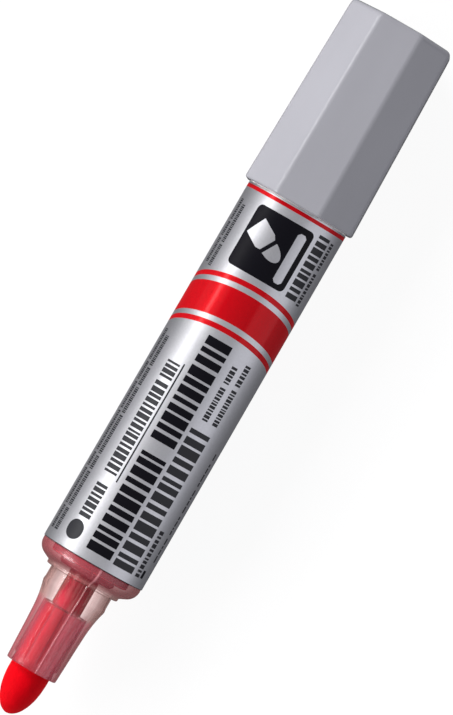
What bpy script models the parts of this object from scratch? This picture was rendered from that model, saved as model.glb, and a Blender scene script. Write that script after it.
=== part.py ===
"""Pump-action whiteboard marker, lying on a facet of its eight-sided cap, which is posted on the tail.

The marker is modelled along its own axis, from the nib's tip at 0 to the cap's closed end, and then laid
along world X under one empty: the nib points to -X, the cap's end to +X, and the origin is under the middle.
"""

import math

import bmesh
import bpy

MM = 0.001  # every size below is in millimetres, and meshes are made in metres
SEGMENTS = 40  # round a large turned piece, four for each rib of the front section
SMALL_SEGMENTS = 24  # round a piece inside the marker
SMOOTH_ANGLE = math.radians(32)

# Places along the axis, from the nib's tip
MARKER_LENGTH = 128.1
NECK_FRONT = 8.0
NIB_REAR = 18.9
GRIP_BEAD = 21.9
FLANGE_FRONT = 24.35
FLANGE_REAR = 24.95
SHOULDER_TOP = 27.6
BARREL_FRONT = 28.1
FRONT_SPIGOT_REAR = 38.0
TAIL_SPIGOT_FRONT = 84.6
BARREL_REAR = 94.35
CAP_MOUTH = 94.24
TURRET_REAR = 104.5
BUTTON_REAR = 113.7
CUP_FRONT = 98.3
CUP_REAR = 124.2

# Radii
NIB_RADIUS = 3.47
NIB_GRIP = 3.58
NIB_CHANNEL = 3.95
NECK_TIP = 4.47
NECK_ROOT = 5.58
BEAD_RADIUS = 5.67
FLANGE_RADIUS = 6.52
SHOULDER_RADIUS = 8.98
SHOULDER_ROUND = 2.3
BARREL_BORE = 8.15
SPIGOT_RADIUS = 8.05
SKIRT_BORE = 6.9
LABEL_FRONT_RADIUS = 9.11
LABEL_REAR_RADIUS = 9.0
LABEL_THICKNESS = 0.1
LABEL_GAP = 0.03
TURRET_RADIUS = 5.6
TURRET_BORE = 4.95
BUTTON_RADIUS = 4.3
ROD_RADIUS = 1.5
VALVE_BORE = 4.9
VALVE_WALL = 1.0
WICK_PASSAGE = 2.6

# The cap's eight facets
FACETS = 8
CAP_MOUTH_FLAT = 9.85  # from the axis to a facet at the mouth, half of the size across flats
CAP_DRAFT = math.tan(math.radians(1.19))
CAP_CORNER = 0.7
CAP_BORE_MOUTH = 9.15
CAP_BORE_END = 7.9
CAP_FLOOR = 126.4

# Ribs inside the clear front section
RIBS = 10
RIB_PHASE = math.radians(8)
RIB_THICKNESS = 0.8

# Seal grooves and rings
GROOVE_RADIUS = 7.35
GROOVE_WIDTH = 1.5
FRONT_GROOVE = 32.0
TAIL_GROOVE = 87.0
RING_SECTION = 0.35


def clear_scene():
    for obj in list(bpy.data.objects):
        bpy.data.objects.remove(obj, do_unlink=True)


def material(name, color, roughness, metallic=0.0, alpha=1.0):
    made = bpy.data.materials.new(name)
    made.use_nodes = True
    shader = made.node_tree.nodes["Principled BSDF"]
    shader.inputs["Base Color"].default_value = (*color, 1.0)
    shader.inputs["Roughness"].default_value = roughness
    shader.inputs["Metallic"].default_value = metallic
    shader.inputs["Alpha"].default_value = alpha
    return made


def lay_axis():
    """The empty that lays the marker's own axis along world X, at the height where the cap's facet rests."""
    axis = bpy.data.objects.new("marker_axis", None)
    axis.location = (-MARKER_LENGTH / 2 * MM, 0.0, CAP_MOUTH_FLAT * MM)
    axis.rotation_euler = (0.0, math.pi / 2, 0.0)
    bpy.context.collection.objects.link(axis)
    return axis


def place(name, bm, made_of, parent):
    """Makes an object of the mesh, with its faces pointing out and its gentle edges smooth."""
    bmesh.ops.recalc_face_normals(bm, faces=bm.faces)
    mesh = bpy.data.meshes.new(name)
    bm.to_mesh(mesh)
    bm.free()
    mesh.shade_smooth()
    mesh.set_sharp_from_angle(angle=SMOOTH_ANGLE)
    obj = bpy.data.objects.new(name, mesh)
    obj.parent = parent
    bpy.context.collection.objects.link(obj)
    if made_of is not None:
        mesh.materials.append(made_of)
    return obj


def even_angles(count, phase=0.0):
    return [phase + math.tau * i / count for i in range(count)]


def ring(bm, radius, height, angles, section):
    """One ring of a turned or faceted solid: a single point on the axis, or a point at each angle."""
    if radius == 0:
        return [bm.verts.new((0.0, 0.0, height * MM))]
    points = []
    for angle in angles:
        r = section(radius, angle) if section else radius
        points.append(bm.verts.new((r * math.cos(angle) * MM, r * math.sin(angle) * MM, height * MM)))
    return points


def bridge(bm, first, second):
    """Faces between two rings, or between a ring and a point on the axis."""
    count = max(len(first), len(second))
    if count == 1:
        return
    for i in range(count):
        j = (i + 1) % count
        near = [first[i % len(first)], first[j % len(first)]]
        far = [second[j % len(second)], second[i % len(second)]]
        bm.faces.new(list(dict.fromkeys(near + far)))


def turned_mesh(profile, angles):
    """A closed solid round the axis. Each profile entry is (radius, height) or (radius, height, section)."""
    bm = bmesh.new()
    rings = []
    for entry in profile:
        section = entry[2] if len(entry) == 3 else None
        rings.append(ring(bm, entry[0], entry[1], angles, section))
    for first, second in zip(rings, rings[1:] + rings[:1]):
        bridge(bm, first, second)
    return bm


def turned(name, profile, made_of, parent, segments=SMALL_SEGMENTS, phase=0.0):
    return place(name, turned_mesh(profile, even_angles(segments, phase)), made_of, parent)


def arc(center_radius, center_height, radius, start, end, steps):
    """Points (radius, height) on a round stretch of a profile, for angles in degrees from straight out."""
    points = []
    for i in range(steps + 1):
        angle = math.radians(start + (end - start) * i / steps)
        points.append((center_radius + radius * math.cos(angle), center_height + radius * math.sin(angle)))
    return points


def torus_profile(center_radius, center_height, section_radius, steps=6):
    return arc(center_radius, center_height, section_radius, 0, 360 * (steps - 1) / steps, steps - 1)


def coil(name, radius, wire, bottom, top, turns, made_of, parent):
    """A compression spring with its wire's centre on a helix and both ends closed off square."""
    steps_per_turn, wire_sides = 12, 6
    steps = round(turns * steps_per_turn)
    first_height, last_height = bottom + wire, top - wire
    bm = bmesh.new()
    rings = []
    for i in range(steps + 1):
        share = i / steps
        angle = math.tau * turns * share
        height = first_height + (last_height - first_height) * eased(share)
        points = []
        for side in range(wire_sides):
            turn = math.tau * side / wire_sides
            r = radius + wire * math.cos(turn)
            z = height + wire * math.sin(turn)
            points.append(bm.verts.new((r * math.cos(angle) * MM, r * math.sin(angle) * MM, z * MM)))
        rings.append(points)
    for first, second in zip(rings, rings[1:]):
        bridge(bm, first, second)
    bm.faces.new(rings[0])
    bm.faces.new(rings[-1])
    return place(name, bm, made_of, parent)


def eased(share):
    """How far along its height a spring's wire has climbed: slowly in the end turns, evenly between them."""
    flat = 0.06
    if share < flat:
        return share * share / (2 * flat * (1 - flat))
    if share > 1 - flat:
        rest = 1 - share
        return 1 - rest * rest / (2 * flat * (1 - flat))
    return (share - flat / 2) / (1 - flat)


def joined(target, tool, operation):
    """Adds a Boolean of the tool to the target. The tool stays as a hidden guide."""
    tool.hide_render = True
    tool.display_type = "WIRE"
    change = target.modifiers.new(tool.name, "BOOLEAN")
    change.operation = operation
    change.solver = "EXACT"
    change.object = tool


def facet_section(corner):
    """The outline of the eight-sided cap: radius means the distance to a facet, and corners are rounded."""
    half = math.pi / FACETS

    def section(flat, angle):
        from_corner = (angle % (2 * half)) - half
        center = (flat - corner) / math.cos(half)
        tangent = math.atan2(corner * math.sin(half), center + corner * math.cos(half))
        if abs(from_corner) >= tangent:
            return flat / math.cos(half - abs(from_corner))
        across = center * math.sin(from_corner)
        return center * math.cos(from_corner) + math.sqrt(corner * corner - across * across)

    return section


def facet_angles():
    """Ring angles for the cap, closer together at its eight corners."""
    half = math.pi / FACETS
    offsets = [math.radians(a) for a in (-22.5, -13, -3.8, -1.3, 1.3, 3.8, 13)]
    return [half * (2 * i + 1) + offset for i in range(FACETS) for offset in offsets]


def cap_flat(height):
    return CAP_MOUTH_FLAT - CAP_DRAFT * (height - CAP_MOUTH - 0.5)


def cap_shell(made_of, parent):
    facets = facet_section(CAP_CORNER)
    soft = facet_section(2 * CAP_CORNER)
    mouth, end = CAP_MOUTH, MARKER_LENGTH
    profile = [
        (CAP_MOUTH_FLAT - 0.32, mouth, facets),
        (CAP_MOUTH_FLAT - 0.1, mouth + 0.12, facets),
        (CAP_MOUTH_FLAT, mouth + 0.5, facets),
        (cap_flat(end - 1.0), end - 1.0, facets),
        (cap_flat(end - 1.0) - 0.12, end - 0.5, facets),
        (cap_flat(end - 1.0) - 0.45, end - 0.13, soft),
        (cap_flat(end - 1.0) - 1.0, end, soft),
        (0, end),
        (0, CAP_FLOOR),
        (CAP_BORE_END - 0.5, CAP_FLOOR),
        (CAP_BORE_END, CAP_FLOOR - 0.5),
        (CAP_BORE_MOUTH, mouth + 0.3),
        (CAP_BORE_MOUTH + 0.15, mouth),
    ]
    return place("cap_shell", turned_mesh(profile, facet_angles()), made_of, parent)


def cap_inner_cup(made_of, parent):
    """The liner that grips the bead on the neck, or on the tail's turret, and keeps the nib from drying."""
    collar, collar_height, inside, wall = 8.75, 1.1, 5.8, 0.9
    profile = [
        (inside + 0.15, CUP_FRONT),
        (collar, CUP_FRONT),
        (collar, CUP_FRONT + collar_height),
        (inside + 0.95, CUP_FRONT + collar_height + 0.3),
        (inside + 0.65, CUP_REAR - 0.8),
        (inside, CUP_REAR),
        (0, CUP_REAR),
        (0, CUP_REAR - wall),
        (inside - 0.6, CUP_REAR - wall),
        (inside - 0.18, CUP_REAR - 1.4),
        (inside, CUP_FRONT + 0.4),
    ]
    return turned("cap_inner_cup", profile, made_of, parent, SEGMENTS)


def label_radius(height):
    share = (height - BARREL_FRONT) / (BARREL_REAR - BARREL_FRONT)
    return LABEL_FRONT_RADIUS + (LABEL_REAR_RADIUS - LABEL_FRONT_RADIUS) * share


def barrel_tube(made_of, parent):
    under_label = LABEL_THICKNESS + LABEL_GAP
    profile = [
        (BARREL_BORE, BARREL_FRONT),
        (label_radius(BARREL_FRONT) - under_label, BARREL_FRONT),
        (label_radius(BARREL_REAR) - under_label, BARREL_REAR),
        (BARREL_BORE, BARREL_REAR),
    ]
    return turned("barrel_tube", profile, made_of, parent, SEGMENTS)


def label_sleeve(made_of, parent):
    front, rear = BARREL_FRONT - 0.05, BARREL_REAR - 0.3
    profile = [
        (label_radius(front) - LABEL_THICKNESS, front),
        (label_radius(front), front),
        (label_radius(rear), rear),
        (label_radius(rear) - LABEL_THICKNESS, rear),
    ]
    return turned("label_sleeve", profile, made_of, parent, SEGMENTS)


def ribbed(radius, angle):
    """The nib's bore: a rib every 36 degrees that grips the nib, with an air channel between ribs."""
    pitch = math.tau / RIBS
    from_rib = (angle - RIB_PHASE + pitch / 2) % pitch - pitch / 2
    return NIB_GRIP if abs(from_rib) < pitch / 6 else radius


def front_section(made_of, parent):
    """The clear moulding that carries the nib, the valve and the grip bead for the cap."""
    groove = FRONT_GROOVE
    skirt_floor, valve_floor, valve_tube_rear = 26.6, 25.6, 37.8
    neck = [
        (NIB_GRIP, NECK_FRONT),
        (NECK_TIP - 0.2, NECK_FRONT),
        (NECK_TIP, NECK_FRONT + 0.22),
        (4.85, 17.1),
        (5.1, 19.2),
        (5.42, 20.95),
        (BEAD_RADIUS, GRIP_BEAD),
        (NECK_ROOT, GRIP_BEAD + 0.6),
        (NECK_ROOT, FLANGE_FRONT),
    ]
    shoulder = [(FLANGE_RADIUS, FLANGE_FRONT + 0.05), (FLANGE_RADIUS, FLANGE_REAR)]
    shoulder += arc(SHOULDER_RADIUS - SHOULDER_ROUND, SHOULDER_TOP, SHOULDER_ROUND, -65, 0, 4)
    shoulder += [(SHOULDER_RADIUS, BARREL_FRONT - 0.1)]
    spigot = [
        (SPIGOT_RADIUS, BARREL_FRONT - 0.1),
        (SPIGOT_RADIUS, groove),
        (GROOVE_RADIUS, groove),
        (GROOVE_RADIUS, groove + GROOVE_WIDTH),
        (SPIGOT_RADIUS, groove + GROOVE_WIDTH),
        (SPIGOT_RADIUS, FRONT_SPIGOT_REAR - 0.4),
        (SPIGOT_RADIUS - 0.25, FRONT_SPIGOT_REAR),
        (SKIRT_BORE, FRONT_SPIGOT_REAR),
        (SKIRT_BORE, skirt_floor),
        (VALVE_BORE + VALVE_WALL, skirt_floor),
        (VALVE_BORE + VALVE_WALL, valve_tube_rear),
    ]
    bore = [
        (VALVE_BORE, valve_tube_rear),
        (VALVE_BORE, valve_floor),
        (WICK_PASSAGE, valve_floor),
        (WICK_PASSAGE, NIB_REAR + 0.3),
        (NIB_CHANNEL, NIB_REAR + 0.3, ribbed),
        (NIB_CHANNEL, NECK_FRONT + 1.5, ribbed),
        (NIB_GRIP, NECK_FRONT + 1.4),
    ]
    phase = RIB_PHASE + math.pi / SEGMENTS
    profile = neck + shoulder + spigot + bore
    body = turned("front_section", profile, made_of, parent, SEGMENTS, phase)
    joined(body, skirt_ribs(parent), "UNION")
    return body


def skirt_ribs(parent):
    """Radial ribs between the front section's outer skirt and the tube that holds the valve."""
    inner, outer = VALVE_BORE + VALVE_WALL - 0.3, SKIRT_BORE + 0.3
    bottom, top = 26.3, 36.0
    bm = bmesh.new()
    for angle in even_angles(RIBS, RIB_PHASE):
        along = (math.cos(angle), math.sin(angle))
        across = (-along[1] * RIB_THICKNESS / 2, along[0] * RIB_THICKNESS / 2)
        corners = []
        for height in (bottom, top):
            for r, side in ((inner, -1), (outer, -1), (outer, 1), (inner, 1)):
                x = r * along[0] + side * across[0]
                y = r * along[1] + side * across[1]
                corners.append(bm.verts.new((x * MM, y * MM, height * MM)))
        low, high = corners[:4], corners[4:]
        bm.faces.new(low)
        bm.faces.new(high)
        bridge(bm, low, high)
    return place("skirt_ribs", bm, None, parent)


def nib(made_of, parent):
    """A bullet nib: half an ellipse at the tip, then a round rod that the ribs grip."""
    bullet_length, steps = 7.0, 8
    profile = [(0, 0.0)]
    for i in range(1, steps + 1):
        angle = math.pi / 2 * i / steps
        profile.append((NIB_RADIUS * math.sin(angle), bullet_length * (1 - math.cos(angle))))
    profile += [(NIB_RADIUS, NIB_REAR - 0.3), (NIB_RADIUS - 0.3, NIB_REAR), (0, NIB_REAR)]
    return turned("nib", profile, made_of, parent, 32)


def ink_wick(made_of, parent):
    """The fibre core that carries ink from the valve's chamber to the back of the nib."""
    bottom, top, radius = NIB_REAR + 0.15, 25.3, WICK_PASSAGE - 0.1
    profile = [(0, bottom), (radius - 0.2, bottom), (radius, bottom + 0.25), (radius, top), (0, top)]
    return turned("ink_wick", profile, made_of, parent)


def valve_plug(made_of, parent):
    """The valve's moving plug: a spigot that centres its spring, a head, and a stem towards the push rod."""
    spigot, spigot_front = 2.6, 29.4
    head, head_front, head_rear = 4.2, 31.2, 32.6
    stem, stem_rear = 1.15, 40.9
    profile = [
        (0, spigot_front),
        (spigot - 0.2, spigot_front),
        (spigot, spigot_front + 0.2),
        (spigot, head_front),
        (head - 0.2, head_front),
        (head, head_front + 0.2),
        (head, head_rear - 0.3),
        (head - 0.3, head_rear),
        (stem, head_rear),
        (stem, stem_rear - 0.3),
        (stem - 0.25, stem_rear),
        (0, stem_rear),
    ]
    return turned("valve_plug", profile, made_of, parent)


def valve_washer(made_of, parent):
    bore, outer, front, rear, edge = 1.3, 3.65, 32.75, 33.75, 0.15
    profile = [
        (bore, front),
        (outer - edge, front),
        (outer, front + edge),
        (outer, rear - edge),
        (outer - edge, rear),
        (bore, rear),
    ]
    return turned("valve_washer", profile, made_of, parent)


def valve_seat(made_of, parent):
    """The fixed ring that the washer seals on, with a raised lip round its hole."""
    bore, outer = 2.0, VALVE_BORE - 0.1
    lip, front, rear = 34.05, 34.5, 36.8
    profile = [
        (bore, front),
        (bore + 0.5, lip),
        (bore + 0.9, lip),
        (bore + 1.4, front),
        (outer, front),
        (outer, rear),
        (bore, rear),
    ]
    return turned("valve_seat", profile, made_of, parent)


def valve_cage(made_of, parent):
    """The cap over the valve: it holds the seat in, lets ink through its ports and guides the push rod."""
    guide, outer, plenum, disc = 1.75, VALVE_BORE - 0.15, 4.1, 5.85
    rim_front, disc_front, disc_rear, guide_rear = 37.0, 38.05, 39.2, 43.2
    profile = [
        (guide, disc_front + 0.15),
        (plenum, disc_front + 0.15),
        (plenum, rim_front),
        (outer, rim_front),
        (outer, disc_front),
        (disc, disc_front),
        (disc, disc_rear),
        (guide + 1.0, disc_rear),
        (guide + 0.8, guide_rear),
        (guide, guide_rear),
    ]
    body = turned("valve_cage", profile, made_of, parent)
    joined(body, ink_ports(parent), "DIFFERENCE")
    return body


def ink_ports(parent):
    """Four round cutters through the cage's disc."""
    ports, port_radius, port_circle, sides = 4, 0.55, 3.42, 12
    bm = bmesh.new()
    for turn in even_angles(ports, math.pi / 4):
        x, y = port_circle * math.cos(turn), port_circle * math.sin(turn)
        rings = []
        for height in (37.6, 39.8):
            points = []
            for angle in even_angles(sides):
                px, py = x + port_radius * math.cos(angle), y + port_radius * math.sin(angle)
                points.append(bm.verts.new((px * MM, py * MM, height * MM)))
            rings.append(points)
        bridge(bm, rings[0], rings[1])
        bm.faces.new(rings[0])
        bm.faces.new(rings[1])
    return place("ink_ports", bm, None, parent)


def fluted(radius, angle):
    """The rod's middle stretch has four lengthwise flutes, as a thin moulding has."""
    return radius * (0.72 + 0.28 * abs(math.cos(2 * angle)))


def push_rod(made_of, parent):
    """The rod from the button to the valve's stem, through the ink chamber."""
    front, rear = 41.2, 111.2
    flutes_front, flutes_rear, run_out = 47.0, 82.0, 1.0
    profile = [
        (0, front),
        (ROD_RADIUS - 0.25, front),
        (ROD_RADIUS, front + 0.3),
        (ROD_RADIUS, flutes_front - run_out),
        (ROD_RADIUS, flutes_front, fluted),
        (ROD_RADIUS, flutes_rear, fluted),
        (ROD_RADIUS, flutes_rear + run_out),
        (ROD_RADIUS, rear - 0.3),
        (ROD_RADIUS - 0.25, rear),
        (0, rear),
    ]
    return turned("push_rod", profile, made_of, parent, 16)


def tail_plug(made_of, parent):
    """The moulding that closes the tail: spigot, shoulder, and a turret with the same bead as the neck."""
    groove = TAIL_GROOVE
    top = BARREL_REAR + 0.3
    shoulder = SHOULDER_RADIUS - 0.08
    flange = BARREL_REAR + 3.0
    bead, turret_floor, seat, rod_hole = 100.2, 98.2, 95.8, 2.1
    profile = [
        (SKIRT_BORE, TAIL_SPIGOT_FRONT),
        (SPIGOT_RADIUS - 0.25, TAIL_SPIGOT_FRONT),
        (SPIGOT_RADIUS, TAIL_SPIGOT_FRONT + 0.4),
        (SPIGOT_RADIUS, groove),
        (GROOVE_RADIUS, groove),
        (GROOVE_RADIUS, groove + GROOVE_WIDTH),
        (SPIGOT_RADIUS, groove + GROOVE_WIDTH),
        (SPIGOT_RADIUS, BARREL_REAR + 0.1),
        (shoulder, BARREL_REAR + 0.1),
    ]
    profile += arc(shoulder - SHOULDER_ROUND, top, SHOULDER_ROUND, 0, 65, 4)
    profile += [
        (FLANGE_RADIUS, flange),
        (FLANGE_RADIUS, flange + 0.6),
        (TURRET_RADIUS, flange + 0.6),
        (TURRET_RADIUS, bead - 0.7),
        (BEAD_RADIUS + 0.05, bead),
        (TURRET_RADIUS, bead + 0.7),
        (TURRET_RADIUS, TURRET_REAR - 0.3),
        (TURRET_RADIUS - 0.25, TURRET_REAR),
        (TURRET_BORE, TURRET_REAR),
        (TURRET_BORE, turret_floor),
        (rod_hole, turret_floor),
        (rod_hole, seat),
        (SKIRT_BORE, seat),
    ]
    return turned("tail_plug", profile, made_of, parent, SEGMENTS)


def seal_ring(name, groove, made_of, parent):
    center = (GROOVE_RADIUS + BARREL_BORE) / 2
    profile = torus_profile(center, groove + GROOVE_WIDTH / 2, RING_SECTION)
    return turned(name, profile, made_of, parent, SEGMENTS)


def pump_bellows(made_of, parent):
    """The folded rubber wall round the rod: it seals the ink in, and pushes ink forward when it stretches.

    Both lists of (radius, height) go from fold to fold: out and back along the rod, between the sleeve that
    grips the rod and the rim that the ring clamps.
    """
    grip, sleeve, rim, rim_rear = ROD_RADIUS + 0.1, 2.5, 6.7, 95.6
    outside = [
        (grip, TAIL_SPIGOT_FRONT),
        (sleeve, TAIL_SPIGOT_FRONT),
        (sleeve, 86.8),
        (4.9, 88.2),
        (3.5, 89.6),
        (5.2, 91.0),
        (3.8, 92.4),
        (4.9, 93.6),
        (rim, 94.1),
        (rim, rim_rear),
    ]
    inside = [
        (4.4, rim_rear),
        (4.4, 93.9),
        (3.3, 92.5),
        (4.6, 91.0),
        (3.0, 89.7),
        (4.2, 88.3),
        (2.1, 87.2),
        (grip, 86.6),
    ]
    return turned("pump_bellows", outside + inside, made_of, parent)


def bellows_ring(made_of, parent):
    inner, outer, front, rear = 5.6, SKIRT_BORE - 0.15, 91.6, 93.8
    profile = [
        (inner, front),
        (outer - 0.15, front),
        (outer, front + 0.2),
        (outer, rear - 0.2),
        (outer - 0.15, rear),
        (inner, rear - 0.4),
    ]
    return turned("bellows_ring", profile, made_of, parent)


def pump_button(made_of, parent):
    """The hollow button, with a flange that stops on the collar and a socket for the rod."""
    cavity, cavity_end = 3.4, 110.8
    boss, socket, boss_front, socket_end = 2.2, ROD_RADIUS + 0.1, 105.0, 111.4
    stop_radius, stop_front, stop_rear = 4.75, 101.4, 102.6
    top = BUTTON_REAR
    profile = [
        (cavity, stop_front),
        (stop_radius, stop_front),
        (stop_radius, stop_rear),
        (BUTTON_RADIUS, stop_rear + 0.15),
        (BUTTON_RADIUS, top - 1.6),
        (BUTTON_RADIUS - 0.15, top - 0.95),
        (BUTTON_RADIUS - 0.6, top - 0.42),
        (BUTTON_RADIUS - 1.5, top - 0.12),
        (0, top),
        (0, socket_end),
        (socket, socket_end),
        (socket, boss_front),
        (boss, boss_front),
        (boss, cavity_end),
        (cavity, cavity_end),
    ]
    return turned("pump_button", profile, made_of, parent, 32)


def button_collar(made_of, parent):
    """The ring snapped into the turret's mouth, which keeps the button in."""
    inner, spigot, flange = BUTTON_RADIUS + 0.12, TURRET_BORE - 0.1, TURRET_RADIUS - 0.05
    front = 102.85
    profile = [
        (inner, front),
        (spigot, front),
        (spigot, TURRET_REAR + 0.1),
        (flange, TURRET_REAR + 0.1),
        (flange, TURRET_REAR + 0.7),
        (flange - 0.25, TURRET_REAR + 1.0),
        (inner + 0.2, TURRET_REAR + 1.0),
        (inner, TURRET_REAR + 0.8),
    ]
    return turned("button_collar", profile, made_of, parent, 32)


def build():
    clear_scene()
    axis = lay_axis()

    grey = material("cap_grey", (0.47, 0.47, 0.50), 0.42)
    liner = material("liner_white", (0.82, 0.82, 0.80), 0.4)
    barrel = material("barrel_white", (0.80, 0.80, 0.79), 0.4)
    foil = material("label_foil", (0.62, 0.60, 0.61), 0.3, metallic=0.8)
    clear = material("clear_plastic", (0.62, 0.38, 0.38), 0.12, alpha=0.55)
    felt = material("red_felt", (0.62, 0.0, 0.01), 0.8)
    natural = material("natural_plastic", (0.75, 0.74, 0.70), 0.4)
    rubber = material("black_rubber", (0.03, 0.03, 0.03), 0.7)
    steel = material("spring_steel", (0.62, 0.62, 0.62), 0.25, metallic=1.0)
    red = material("button_red", (0.65, 0.01, 0.02), 0.35)

    cap_shell(grey, axis)
    cap_inner_cup(liner, axis)
    barrel_tube(barrel, axis)
    label_sleeve(foil, axis)
    front_section(clear, axis)
    seal_ring("front_gasket", FRONT_GROOVE, rubber, axis)
    nib(felt, axis)
    ink_wick(felt, axis)
    coil("valve_spring", 3.35, 0.25, 25.75, 31.1, 4.5, steel, axis)
    valve_plug(natural, axis)
    valve_washer(rubber, axis)
    valve_seat(natural, axis)
    valve_cage(natural, axis)
    push_rod(natural, axis)
    tail_plug(grey, axis)
    seal_ring("tail_gasket", TAIL_GROOVE, rubber, axis)
    pump_bellows(rubber, axis)
    bellows_ring(natural, axis)
    coil("button_spring", 2.8, 0.22, 98.35, 110.65, 7.0, steel, axis)
    pump_button(red, axis)
    button_collar(grey, axis)


build()
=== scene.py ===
"""The looks of the whiteboard marker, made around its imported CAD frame.

Places on the marker are given in millimetres along its axis from the nib's tip, in millimetres from the
axis, and as an angle round it from straight up, positive towards -Y.
"""

import math

import bmesh
import bpy
from mathutils import Matrix, Vector, geometry, noise


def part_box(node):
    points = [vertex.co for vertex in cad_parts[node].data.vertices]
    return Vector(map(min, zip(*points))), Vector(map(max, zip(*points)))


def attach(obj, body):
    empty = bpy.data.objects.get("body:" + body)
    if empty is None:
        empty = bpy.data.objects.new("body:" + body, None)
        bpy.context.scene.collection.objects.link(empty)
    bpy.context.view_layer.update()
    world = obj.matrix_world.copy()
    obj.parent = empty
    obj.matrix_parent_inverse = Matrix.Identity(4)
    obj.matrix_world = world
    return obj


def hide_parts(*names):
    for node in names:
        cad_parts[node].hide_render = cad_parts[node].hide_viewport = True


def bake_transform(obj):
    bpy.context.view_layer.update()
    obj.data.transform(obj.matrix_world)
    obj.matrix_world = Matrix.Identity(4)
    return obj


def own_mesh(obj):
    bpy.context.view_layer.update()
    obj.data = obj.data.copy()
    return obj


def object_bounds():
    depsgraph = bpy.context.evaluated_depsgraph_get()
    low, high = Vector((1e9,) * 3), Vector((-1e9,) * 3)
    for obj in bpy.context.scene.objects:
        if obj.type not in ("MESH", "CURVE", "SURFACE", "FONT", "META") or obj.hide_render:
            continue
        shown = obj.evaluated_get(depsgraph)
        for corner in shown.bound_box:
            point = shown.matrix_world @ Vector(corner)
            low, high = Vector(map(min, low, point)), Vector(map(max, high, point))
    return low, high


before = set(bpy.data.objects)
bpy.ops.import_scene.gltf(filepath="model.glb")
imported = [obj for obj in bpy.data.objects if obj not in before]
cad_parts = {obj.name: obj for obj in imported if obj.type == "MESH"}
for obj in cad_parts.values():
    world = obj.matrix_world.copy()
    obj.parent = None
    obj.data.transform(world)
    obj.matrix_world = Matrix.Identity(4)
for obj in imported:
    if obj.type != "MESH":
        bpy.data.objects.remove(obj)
cad_low, cad_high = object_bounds()

MM = 0.001
TIP_X = cad_low.x
AXIS_HEIGHT = (cad_low.z + cad_high.z) / 2
SPIN = 128  # segments round a large turned piece
SMALL_SPIN = 96  # and round a small one
FINE = 0.12  # the usual rounding of a turned piece's edge
PARTING = math.radians(14)  # where the clear moulding's parting line runs, round the axis


# ---------------------------------------------------------------- the frame, read in the marker's own terms


def at(radius, angle, along):
    """The point at a radius, an angle and a place along the marker, in the row frame."""
    return Vector(
        (
            TIP_X + along * MM,
            -radius * math.sin(angle) * MM,
            AXIS_HEIGHT + radius * math.cos(angle) * MM,
        )
    )


def read(point):
    """The reverse of at(): (radius, angle, along) of a point."""
    y, z = -point.y, point.z - AXIS_HEIGHT
    return math.hypot(y, z) / MM, math.atan2(y, z), (point.x - TIP_X) / MM


def span(node):
    """(front, rear, radius) of a CAD node."""
    low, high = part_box(node)
    return (low.x - TIP_X) / MM, (high.x - TIP_X) / MM, (high.y - low.y) / 2 / MM


def cad_profile(node):
    """The turned outline of a round CAD node, as (radius, along) points in order.

    It is read from one half-plane of the node. Where a flat end closes the node, the outline runs on to the
    axis.
    """
    on_axis, in_plane = 0.001, 0.01
    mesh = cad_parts[node].data
    places = [read(v.co) for v in mesh.vertices]
    reference = max(places)[1]
    kept = {}
    for index, (radius, angle, along) in enumerate(places):
        turn = (angle - reference + math.pi) % math.tau - math.pi
        if radius < on_axis or abs(turn) < in_plane:
            kept[index] = (round(radius, 3), round(along, 3))
    links = {}
    for edge in mesh.edges:
        first, second = (kept.get(v) for v in edge.vertices)
        if first and second and first != second:
            links.setdefault(first, set()).add(second)
            links.setdefault(second, set()).add(first)
    ends = sorted(p for p in links if p[0] == 0 or len(links[p]) == 1)
    here = ends[0] if ends else min(links)
    outline = [here]
    onward = sorted(links[here])
    while onward:
        here = onward[0]
        outline.append(here)
        onward = [p for p in sorted(links[here]) if p not in outline]
    if ends:
        first, last = ([(0, end[1])] if end[0] else [] for end in (outline[0], outline[-1]))
        outline = first + outline + last
    return outline


# ---------------------------------------------------------------- mesh making


def rounded(outline, fillet):
    """The outline with each sharp corner rounded, by up to the fillet and less on short edges."""
    steps, least_turn = 3, math.radians(25)
    points = []
    count = len(outline)
    for i, here in enumerate(outline):
        corner = Vector(here)
        before = Vector(outline[i - 1]) - corner
        after = Vector(outline[(i + 1) % count]) - corner
        turn = math.pi - before.angle(after) if before.length and after.length else 0
        if here[0] == 0 or turn < least_turn:
            points.append(here)
            continue
        reach = min(fillet * math.tan(turn / 2), 0.4 * before.length, 0.4 * after.length)
        start, end = corner + before.normalized() * reach, corner + after.normalized() * reach
        for step in range(steps + 1):
            t = step / steps
            point = start * (1 - t) ** 2 + corner * (2 * t * (1 - t)) + end * t * t
            points.append((point.x, point.y))
    return points


def even_angles(count, phase=0):
    """Angles evenly round the axis, from the phase on."""
    return [phase + math.tau * i / count for i in range(count)]


def spun(outline, angles):
    """A closed solid round the axis, through rings at the outline's points.

    A point's third value, where it has one, is a function that changes its ring's radius by angle.
    """
    bm = bmesh.new()
    rings = []
    for radius, along, *sections in outline:
        if radius == 0:
            rings.append([bm.verts.new(at(0, 0, along))])
            continue
        radii = [sections[0](radius, a) if sections else radius for a in angles]
        rings.append([bm.verts.new(at(r, a, along)) for r, a in zip(radii, angles)])
    for first, second in zip(rings, rings[1:] + rings[:1]):
        bridge(bm, first, second)
    return bm


def bridge(bm, first, second):
    """Faces between two rings, or from a ring to the one point of a closed end."""
    count = max(len(first), len(second))
    if count == 1:
        return
    for i in range(count):
        j = (i + 1) % count
        corners = (
            first[i % len(first)],
            first[j % len(first)],
            second[j % len(second)],
            second[i % len(second)],
        )
        bm.faces.new(list(dict.fromkeys(corners)))


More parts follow.
